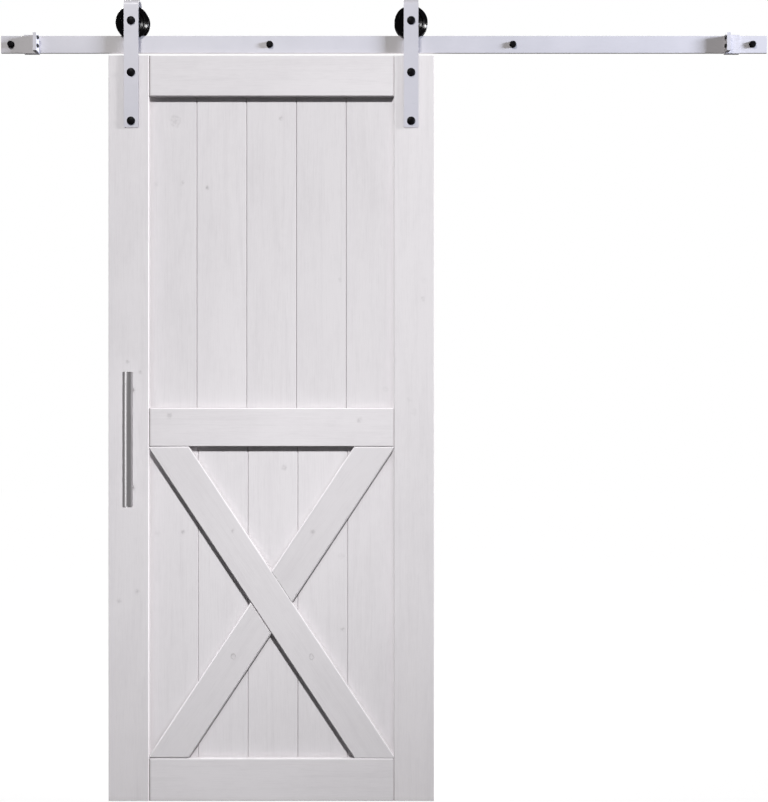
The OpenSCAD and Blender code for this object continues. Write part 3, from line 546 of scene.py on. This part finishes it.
# %% The painted shade, lean and tone of each board
# painted shade: dark lines at each rail's ends, deeper at the left, and a soft dark band on the first
# plank beside the left stile
flat_boards = ["top_rail", "middle_rail", "bottom_rail"]
shade_lines_of_board = {name: [(open_left, 0.009, 0.9), (open_right, 0.004, 0.5)] for name in flat_boards}
shade_lines_of_board["upper_plank_1"] = [(open_left, 0.024, 0.2)]
shade_lines_of_board["lower_plank_1"] = [(open_left, 0.024, 0.2)]
lean_of_board = {name: math.pi / 2 for name in flat_boards}
lean_of_board["long_brace"] = -brace_lean
lean_of_board["upper_half_brace"] = brace_lean
lean_of_board["lower_half_brace"] = brace_lean
tone_of_board = {
    "upper_plank_3": 0.97, "upper_plank_4": 0.95, "upper_plank_5": 0.95, "right_stile": 0.975,
    "upper_half_brace": 0.915, "lower_half_brace": 0.93, "long_brace": 0.975,
}
print("boards with a darker tone:", ", ".join(sorted(tone_of_board)))

# %% Ease and paint the boards
boards = [name for name, slot in slot_of_node.items() if slot == "painted_pine"]
board_ease, brace_ease, brace_arris = 0.0008, 0.0006, 0.002
for seed, name in enumerate(boards, start=1):
    lean, tone = lean_of_board.get(name, 0.0), tone_of_board.get(name, 1.0)
    knots, shade_lines = knots_of_board.get(name, []), shade_lines_of_board.get(name, [])
    finish = painted_pine(name, lean, seed, tone, knots, shade_lines)
    if name.endswith("brace"):
        board = eased_copy(name, brace_ease, wider=brace_arris)
    else:
        board = eased_copy(name, board_ease)
    dress(board, name, finish)
print("boards painted:", len(boards))

# %% [markdown]
# ## Flat steel: bar, straps, stops, spacers and small fittings
# Cut and bent steel has a small radius on every edge, which catches a thin line of light. The same
# copy as for the boards gives it, with a radius that suits the thickness of the metal.

# %% Ease the steel
edge_radius = {
    "track_bar": 0.0007, "left_stop": 0.0009, "right_stop": 0.0009,
    "left_strap": 0.0010, "right_strap": 0.0010,
    "spacer_1": 0.0005, "spacer_2": 0.0005, "spacer_3": 0.0005, "spacer_4": 0.0005,
    "lag_washers": 0.0003, "axle_nuts": 0.0006, "stop_grub_screws": 0.0002,
    "handle_top_post": 0.0004, "handle_bottom_post": 0.0004,
    "handle_screws": 0.0003, "handle_washers": 0.0003, "strap_barrel_nuts": 0.0004,
}
for name, radius in edge_radius.items():
    dress(eased_copy(name, radius), name, finish_of_slot[slot_of_node[name]])
print("steel pieces eased:", len(edge_radius))

# %% [markdown]
# ## Turned pieces
# Wheels, round bolt heads, bumpers and the handle are made on a lathe or in a round mould. In
# Blender the Screw modifier can turn a profile too, but writing the rings directly keeps control of
# the number of steps and closes the poles cleanly. A profile is a list of (radius, distance along the
# axis), and its corners are first replaced by short arcs.

# %% Profiles with rounded corners
def rounded_profile(points, radius, steps=3, closed=False):
    out = []
    count = len(points)
    for i, point in enumerate(points):
        here = Vector(point[:2])
        if not closed and i in (0, count - 1):
            out.append(here)
            continue
        radius_here = point[2] if len(point) > 2 else radius
        to_last = Vector(points[i - 1][:2]) - here
        to_next = Vector(points[(i + 1) % count][:2]) - here
        bend = to_last.angle(to_next)
        cut = min(radius_here / math.tan(bend / 2), 0.45 * to_last.length, 0.45 * to_next.length)
        start = here + to_last.normalized() * cut
        end = here + to_next.normalized() * cut
        for k in range(steps + 1):
            t = k / steps
            out.append((1 - t) ** 2 * start + 2 * t * (1 - t) * here + t ** 2 * end)
    return out


print("a profile's corners can be rounded")

# %% The lathe
axes_for = {
    "x": (Vector((1, 0, 0)), Vector((0, 1, 0)), Vector((0, 0, 1))),
    "y": (Vector((0, 1, 0)), Vector((0, 0, 1)), Vector((1, 0, 0))),
    "z": (Vector((0, 0, 1)), Vector((1, 0, 0)), Vector((0, 1, 0))),
}


def turn_profile(work, profile, centre, axis, steps=64, closed=False):
    along, side, up = axes_for[axis]
    centre = Vector(centre)
    rings = []
    for radius, run in profile:
        if radius < 1e-7:
            rings.append([work.verts.new(centre + along * run)])
            continue
        ring = []
        for k in range(steps):
            a = 2 * math.pi * k / steps
            spoke = (side * math.cos(a) + up * math.sin(a)) * radius
            ring.append(work.verts.new(centre + along * run + spoke))
        rings.append(ring)
    pairs = list(zip(rings, rings[1:]))
    if closed:
        pairs.append((rings[-1], rings[0]))
    for low, high in pairs:
        for k in range(steps):
            n = (k + 1) % steps
            corners = [low[k % len(low)], low[n % len(low)], high[n % len(high)], high[k % len(high)]]
            corners = list(dict.fromkeys(corners))
            if len(corners) > 2:
                work.faces.new(corners)


def node_centre(node):
    low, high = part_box(node)
    return Vector([(a + b) / 2 for a, b in zip(low, high)])


print("the lathe is ready")

# %% [markdown]
# ## The wheels
# Each wheel has a deep groove that rides on the bar, a dished web on both faces and a hub with the
# bearing. The section below repeats the CAD section in metres and rounds its corners. A moulded wheel
# has a little draft, so web and rim lean outward: a flat face would mirror a lamp as a whole disc or
# not at all, and a slight cone mirrors it as one narrow glint. Weighted normals keep the cone clean.

# %% The wheel's section
groove_radius, rim_radius, seat_radius, lip_radius = 0.037, 0.048, 0.0130, 0.0115
hub_edge, web_start, web_end, rim_start = 0.0230, 0.02475, 0.03225, 0.0340
rim_edge = rim_radius - 0.0015
wheel_half, floor_half, mouth_half, dish, seat = 0.0120, 0.0038, 0.0068, 0.0085, 0.0040
web_lean = 0.0005
rim_near, rim_far = wheel_half - 3 * web_lean, wheel_half - 6 * web_lean
wheel_section = [
    (seat_radius, -wheel_half), (hub_edge, -wheel_half, 0.004),
    (web_start, -dish - web_lean), (web_end, web_lean - dish),
    (rim_start, -wheel_half, 0.002), (rim_edge, -rim_near, 0.003), (rim_radius, -rim_far, 0.003),
    (rim_radius, -mouth_half, 0.001), (groove_radius, -floor_half),
    (groove_radius, floor_half), (rim_radius, mouth_half, 0.001),
    (rim_radius, rim_far, 0.003), (rim_edge, rim_near, 0.003), (rim_start, wheel_half, 0.002),
    (web_end, dish - web_lean), (web_start, dish + web_lean), (hub_edge, wheel_half, 0.004),
    (lip_radius, wheel_half), (lip_radius, seat), (seat_radius, seat),
]
wheel_outline = rounded_profile(wheel_section, 0.0007, 4, closed=True)
print("the wheel's section has", len(wheel_outline), "points")

# %% Turn the wheels
wheels = ["left_wheel", "right_wheel"]
for name in wheels:
    centre = node_centre(name)
    work = bmesh.new()
    turn_profile(work, wheel_outline, centre, "y", steps=96, closed=True)
    nylon = wheel_nylon(name, centre, groove_radius)
    wheel = dress(new_piece(name + "_turned", work, 50), name, nylon)
    wheel.modifiers.new("even_normals", "WEIGHTED_NORMAL").keep_sharp = True
    print(name, "centre", [round(c, 4) for c in centre])

# %% [markdown]
# ## Round bolt heads
# The straps are held by bolts with low domed heads. The head's crown is a shallow arc that turns into
# a short upright edge, so it shows a small soft highlight. The axle bolts are the same with a longer
# shank.

# %% Turn the bolts
def bolt_outline(head_radius, head_height, shank_radius, shank_end):
    crown = []
    for k in range(9):
        t = k / 8 * math.pi / 2
        sink = 0.62 * head_height * (1 - math.cos(t))
        crown.append((head_radius * 0.97 * math.sin(t), -head_height + sink))
    rim, point = 0.0003, 0.0008
    edge = [(head_radius, -0.3 * head_height), (head_radius, -rim), (head_radius - rim, 0)]
    shank = [(shank_radius, 0), (shank_radius, shank_end - point)]
    return crown + edge + shank + [(shank_radius - point, shank_end), (0, shank_end)]


head_radius, head_height, axle_radius, shank_radius = 0.012, 0.006, 0.005, 0.004
strap_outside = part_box("left_strap")[0][1]
for name in ("left_axle_bolt", "right_axle_bolt"):
    centre = node_centre(name)
    centre.y = strap_outside
    work = bmesh.new()
    outline = bolt_outline(head_radius, head_height, axle_radius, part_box(name)[1][1] - strap_outside)
    turn_profile(work, outline, centre, "y", 48)
    dress(new_piece(name + "_turned", work, 50), name, finish_of_slot["black_coat"])

bolt_low, bolt_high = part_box("strap_bolts")
work = bmesh.new()
for x in (bolt_low[0] + head_radius, bolt_high[0] - head_radius):
    for z in (bolt_low[2] + head_radius, bolt_high[2] - head_radius):
        outline = bolt_outline(head_radius, head_height, shank_radius, bolt_high[1] - strap_outside)
        turn_profile(work, outline, (x, strap_outside, z), "y", 48)
dress(new_piece("strap_bolts_turned", work, 50), "strap_bolts", finish_of_slot["black_coat"])
print("round heads: six, radius", head_radius)

# %% [markdown]
# ## Bumpers
# A stop has two rubber buttons that meet the strap. A button is a short stud with a round crown, so
# its profile is a quarter circle on a straight side.

# %% Turn the bumpers
crown_radius, stem_radius = 0.0018, 0.0025
for side, inner in (("left", 1), ("right", 0)):
    name = side + "_stop_bumpers"
    low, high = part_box(name)
    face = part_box(side + "_stop")[inner][0]
    top = (low, high)[inner][0] - face
    stem_end = (low, high)[1 - inner][0] - face
    bumper_radius = (high[1] - low[1]) / 2
    toward = 1 if top > 0 else -1
    outline = [(0, top)]
    for k in range(9):
        t = k / 8 * math.pi / 2
        narrower, lower = crown_radius * (1 - math.sin(t)), crown_radius * (1 - math.cos(t))
        outline.append((bumper_radius - narrower, top - toward * lower))
    outline += [(bumper_radius, toward * 0.0004), (bumper_radius - 0.0004, 0)]
    outline += [(stem_radius, 0), (stem_radius, stem_end), (0, stem_end)]
    work = bmesh.new()
    for z in (low[2] + bumper_radius, high[2] - bumper_radius):
        turn_profile(work, outline, (face, (low[1] + high[1]) / 2, z), "x", 40)
    dress(new_piece(name + "_turned", work, 50), name, finish_of_slot["bumper_rubber"])
    print(name, "stand", round(abs(top), 4), "m off the stop")

# %% [markdown]
# ## The handle
# A straight tube with flat caps stands on two posts. The tube is turned with its bore, so that it is a
# real tube when it is seen cut or lifted, and the caps have a small rounded rim.

# %% Turn the tube and its caps
bar_low, bar_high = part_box("handle_bar")
cap_low, cap_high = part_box("handle_end_caps")
handle_radius = (bar_high[0] - bar_low[0]) / 2
tube_wall, cap_plug = 0.002, 0.008
bore_radius = handle_radius - tube_wall
handle_middle = node_centre("handle_bar")
half_tube = (bar_high[2] - bar_low[2]) / 2
tube = [
    (handle_radius, -half_tube), (handle_radius, half_tube),
    (bore_radius, half_tube), (bore_radius, -half_tube),
]
work = bmesh.new()
turn_profile(work, rounded_profile(tube, 0.0002, 2, closed=True), handle_middle, "z", 72, closed=True)
dress(new_piece("handle_bar_turned", work, 50), "handle_bar", finish_of_slot["handle_steel"])

work = bmesh.new()
for end, inner, sign in ((cap_high[2], bar_high[2], 1), (cap_low[2], bar_low[2], -1)):
    cap = [
        (0, end - inner), (handle_radius, end - inner), (handle_radius, 0),
        (bore_radius, 0), (bore_radius, -sign * cap_plug), (0, -sign * cap_plug),
    ]
    turn_profile(work, rounded_profile(cap, 0.0008), (handle_middle.x, handle_middle.y, inner), "z", 72)
dress(new_piece("handle_end_caps_turned", work, 50), "handle_end_caps", finish_of_slot["handle_steel"])
print("handle", round(cap_high[2] - cap_low[2], 4), "m long")

# %% [markdown]
# ## Lag bolts
# A lag bolt's hexagon head is chamfered by a cone, which leaves a curved line on each flat, and its
# coarse wood thread runs to a point. A hexagon is a circle whose radius changes with the angle, and a
# thread is a cylinder whose radius changes with the angle and the distance, so both are rings of
# points.

# %% Rings of points
lag_flats, lag_head, lag_steps = 0.016, 0.0056, 48
washer_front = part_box("lag_washers")[0][1]
lag_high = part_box("lag_bolts")[1]
lag_holes = [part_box(f"spacer_{i}") for i in (1, 2, 3, 4)]


def hexagon_radius(angle):
    within = angle % (math.pi / 3) - math.pi / 6
    return lag_flats / 2 / math.cos(within)


def ring_of(work, centre, radius_at, run_at):
    ring = []
    for k in range(lag_steps):
        a = 2 * math.pi * k / lag_steps
        spot = Vector((math.cos(a), 0, math.sin(a))) * radius_at(a)
        ring.append(work.verts.new(centre + spot + Vector((0, run_at(a), 0))))
    return ring


def skin(work, rings):
    for low, high in zip(rings, rings[1:]):
        count = len(low)
        for k in range(count):
            n = (k + 1) % count
            work.faces.new([low[k], low[n], high[n], high[k]])


print("rings have", lag_steps, "points")

# %% Shape the lag bolts
plain_radius, pitch, root, crest = 0.0035, 0.0032, 0.0029, 0.0040
thread_rows, tip_run, tip_radius = 80, 0.008, 0.00025


def head_rings(work, centre):
    top, slope = lag_flats / 2 * 0.95, math.tan(math.radians(30))
    rings = []
    for share, sink in ((0.3, 0.0), (0.8, 0.0), (1.0, 0.0001)):
        rings.append(ring_of(work, centre, lambda a: top * share, lambda a: sink - lag_head))

    def chamfer(a):
        return -lag_head + (hexagon_radius(a) - top) * slope

    rings.append(ring_of(work, centre, hexagon_radius, chamfer))
    rings.append(ring_of(work, centre, hexagon_radius, lambda a: 0.0))
    return rings


def thread_rings(work, centre, start, end):
    rings = []
    for i in range(thread_rows + 1):
        run = start + (end - start) * i / thread_rows
        point = min(1.0, (end - run) / tip_run)

        def radius_at(a):
            turn = (run / pitch - a / (2 * math.pi)) % 1.0
            ridge = max(0.0, 1 - abs(turn - 0.5) / 0.24)
            return max(tip_radius, (root + (crest - root) * ridge) * point)

        rings.append(ring_of(work, centre, radius_at, lambda a: run))
    return rings


def lag_bolt(work, x, z):
    centre = Vector((x, washer_front, z))
    start, end = -washer_front, lag_high[1] - washer_front
    rings = head_rings(work, centre)
    for run in (0.0, start):
        rings.append(ring_of(work, centre, lambda a: plain_radius, lambda a: run))
    rings += thread_rings(work, centre, start, end)
    skin(work, rings)
    work.faces.new(rings[0])
    work.faces.new(rings[-1])


work = bmesh.new()
for low, high in lag_holes:
    lag_bolt(work, (low[0] + high[0]) / 2, (low[2] + high[2]) / 2)
dress(new_piece("lag_bolts_threaded", work, 35), "lag_bolts", finish_of_slot["black_coat"])
print("lag bolts:", len(lag_holes))

# %% [markdown]
# ## Pieces that keep their CAD shape
# Dowels, bushes, bearings and the brace screws sit inside the object or show only a small head. Their
# CAD shape is right as it is, so they only get their finish.

# %% Finish the inner pieces
kept = [name for name in slot_of_node if name not in piece_of_node]
for name in kept:
    data = frame["nodes"][name].data
    data.materials.clear()
    data.materials.append(finish_of_slot[slot_of_node[name]])
print("kept from the frame:", ", ".join(kept))

# %% [markdown]
# ## Camera
# The photograph looks straight at the door: all upright lines are parallel and the middle of the
# picture lies at the door's middle height. The distance follows from how much of the wheels' and
# straps' depth shows beside them, and the lens from the size of the door in the picture.

# %% Place the camera
lens = bpy.data.cameras.new("photo_camera")
lens.sensor_width = 36
lens.lens = 41.56
lens.clip_end = 100
camera = bpy.data.objects.new("photo_camera", lens)
camera.location = (0.0065, door_front - 2.65, -1.025)
camera.rotation_euler = (math.pi / 2, 0, 0)
bpy.context.scene.collection.objects.link(camera)
bpy.context.scene.camera = camera
print("camera at", [round(c, 3) for c in camera.location])

# %% [markdown]
# ## Floor, background and light
# The photograph has a white ground and a clear light from above, a little from the right, which
# draws dark lines under the rails and a light line on each upper edge. A big lamp far away gives such
# shadows with a soft rim. A dim even sky fills them, and it is white only where the camera sees it.

# %% Floor
floor_mesh = bpy.data.meshes.new("floor")
work = bmesh.new()
bmesh.ops.create_grid(work, x_segments=8, y_segments=8, size=9.0)
work.to_mesh(floor_mesh)
work.free()
floor = bpy.data.objects.new("floor", floor_mesh)
floor_gap = 0.010
floor.location = (0, 0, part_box("left_stile")[0][2] - floor_gap)
bpy.context.scene.collection.objects.link(floor)
finish, tree, shader = new_finish("pale_floor")
tint = mixed(tree, noise(tree, own_place(tree), 3.0), (0.90, 0.90, 0.90, 1), (0.88, 0.88, 0.88, 1))
tree.links.new(tint, shader.inputs["Base Color"])
shader.inputs["Roughness"].default_value = 0.9
shader.inputs["Emission Color"].default_value = (1, 1, 1, 1)
shader.inputs["Emission Strength"].default_value = 0.92
floor_mesh.materials.append(finish)
floor.visible_diffuse = False
floor.visible_glossy = False
print("floor at", round(floor.location.z, 3))

# %% Sky
sky = bpy.data.worlds.new("studio")
bpy.context.scene.world = sky
sky.use_nodes = True
tree = sky.node_tree
tree.nodes.clear()
fill_strength, mirror_strength = 0.075, 0.30
warm_white, plain_white = (1.0, 0.98, 0.99, 1), (1, 1, 1, 1)


def glow(colour, strength):
    return put(tree, "ShaderNodeBackground", {"Color": colour, "Strength": strength}).outputs[0]


def for_rays(kind, others, these):
    chosen = path.outputs[kind]
    return put(tree, "ShaderNodeMixShader", {0: chosen, 1: others, 2: these}).outputs[0]


path = put(tree, "ShaderNodeLightPath")
inside = for_rays("Is Glossy Ray", glow(warm_white, fill_strength), glow(warm_white, mirror_strength))
either = for_rays("Is Camera Ray", inside, glow(plain_white, 1.0))
put(tree, "ShaderNodeOutputWorld", {"Surface": either})
bpy.context.scene.view_settings.view_transform = "Standard"
print("sky fill", fill_strength)

# %% [markdown]
# ## Which lamp reaches what
# The boards in the photograph are lit from above with crisp shadows, while the steel on them is lit
# from the far right: each strap and stop throws a long soft shadow to its left. One lamp for all can't
# do both, so the lamps use light linking. A lamp's receivers are the pieces that it lights, and its
# blockers are the pieces that throw shadows in its light.

# %% Groups for the lamps
def group(name, things, state="INCLUDE"):
    made = bpy.data.collections.new(name)
    for thing in things:
        made.objects.link(thing)
    for entry in made.collection_objects:
        entry.light_linking.link_state = state
    return made


def pieces(nodes):
    return [piece_of_node.get(node, frame["nodes"][node]) for node in nodes]


stiles = ["left_stile", "right_stile"]
straps = ["left_strap", "right_strap"]
handle_nodes = [node for node in slot_of_node if node.startswith("handle_")]
steel_nodes = [node for node in slot_of_node if node not in boards and node not in handle_nodes]
fittings = [node for node in steel_nodes + handle_nodes if node not in wheels]
to_stiles = group("stiles", pieces(stiles))
to_panels = group("rails_planks_braces", pieces([node for node in boards if node not in stiles]))
to_straps = group("straps", pieces(straps))
to_other_steel = group("other_steel", pieces([node for node in steel_nodes if node not in straps]))
to_handle = group("handle", pieces(handle_nodes))
to_fittings = group("fittings", pieces(fittings))
steel_shadows = group("steel_shadows", pieces(steel_nodes))
board_shadows = group("board_shadows", pieces([node for node in boards if node != "right_stile"]))
to_raked = group("raked_edges", pieces(["right_stile", "upper_half_brace", "lower_half_brace"]))
all_but_floor = group("all_but_floor", [floor], "EXCLUDE")
print("lamp groups:", len(boards), "boards,", len(steel_nodes), "steel,", len(handle_nodes), "handle")

# %% [markdown]
# ## The lamps
# The key is a large lamp high on the right, and a spot beside it lifts the middle of the door. The
# stiles get their own pair, because they are lit a little differently. A raking lamp from the upper
# left, almost in the plane of the door, draws the light lines on the edges that the key leaves dull.
# The steel has a bluish lamp from the right. A black wheel shows only what it mirrors, so each has a
# small lamp where a ray from the camera lands after it has bounced off the web.


# %% Lamps for the front
def hang(name, kind, place, target, power, receivers, blockers=None, **settings):
    data = bpy.data.lights.new(name, kind)
    data.energy = power
    for key, value in settings.items():
        setattr(data, key, value)
    thing = bpy.data.objects.new(name, data)
    thing.location = place
    thing.rotation_euler = (Vector(target) - Vector(place)).to_track_quat("-Z", "Y").to_euler()
    thing.light_linking.receiver_collection = receivers
    thing.light_linking.blocker_collection = blockers
    bpy.context.scene.collection.objects.link(thing)
    return thing


door_middle = Vector((-0.316, door_front, -1.1))
toward_key = Vector((2.42, -4.85, 5.70))
key_place = door_middle + 1.4 * toward_key
panel_spot = Vector((-0.316, door_front, -1.33))
spot_cone = 2 * math.atan(0.72 / (key_place - panel_spot).length)
hang("key_on_panels", "AREA", key_place, door_middle, 1370, to_panels, board_shadows, size=0.85)
stile_key = door_middle + 1.5 * toward_key
hang("key_on_stiles", "AREA", stile_key, door_middle, 1330, to_stiles, board_shadows, size=0.9)
soft_spot = {"spot_size": spot_cone, "spot_blend": 1.0, "shadow_soft_size": 0.4}
hang("spot_on_panels", "SPOT", key_place, panel_spot, 1780, to_panels, board_shadows, **soft_spot)
hang("spot_on_stiles", "SPOT", key_place, panel_spot, 1050, to_stiles, board_shadows, **soft_spot)
hang("front_on_fittings", "AREA", (-1.3, -3.2, 2.6), (0, door_front, 0), 122, to_fittings, size=1.2)
print("the key is", round((key_place - door_middle).length, 2), "m from the door")

# %% Lamps from the sides
bar_middle = Vector((0, 0, 0))
far_right = Vector((0.957, -0.256, 0.14)) * 5
front_right = Vector((0.50, -0.80, -0.33)) * 5
far_left = Vector((-0.78, -0.06, 0.62)) * 5
bluish = (0.76, 0.83, 1.0)
hang("side_on_stiles", "SUN", far_right, bar_middle, 1.9, to_stiles, steel_shadows,
     angle=math.radians(8))
hang("rake_on_edges", "SUN", far_left, bar_middle, 1.5, to_raked, board_shadows,
     angle=math.radians(5))
hang("side_on_straps", "AREA", front_right, bar_middle, 186, to_straps, to_handle,
     size=1.0, color=bluish)
hang("side_on_other_steel", "AREA", 1.4 * far_right, bar_middle, 1290, to_other_steel, steel_shadows,
     size=1.2, color=bluish)
print("side lamps stand at", round(far_right.length, 2), "m and", round(front_right.length, 2), "m")

# %% Lamps for the handle, the wheels and the back
strip_place = handle_middle + Vector((-1.5, -2.6, 0))
hang("handle_strip", "AREA", strip_place, handle_middle, 30, to_handle,
     shape="RECTANGLE", size=1.6, size_y=4.0)
web_slope = math.atan2(2 * web_lean, web_end - web_start)
spark_turn, spark_radius = math.radians(-16), 0.031
outward = Vector((math.cos(spark_turn), 0, math.sin(spark_turn)))
facing = Vector((0, -1, 0)) * math.cos(web_slope) + outward * math.sin(web_slope)
for name in wheels:
    spark = node_centre(name) + outward * spark_radius + Vector((0, -dish, 0))
    bounce = (spark - camera.location).reflect(facing)
    to_wheel = group(name, pieces([name]))
    hang(name + "_spark", "AREA", spark + bounce, spark, 9, to_wheel, to_handle, size=0.13)
door_back = (-0.2, 0, -1.0)
hang("back_left", "AREA", (-2.3, 4.2, 2.6), door_back, 260, all_but_floor, size=2.0)
hang("back_right", "AREA", (2.6, 4.6, 1.4), door_back, 140, all_but_floor, size=2.0)
print("lamps:", ", ".join(sorted(light.name for light in bpy.data.lights)))
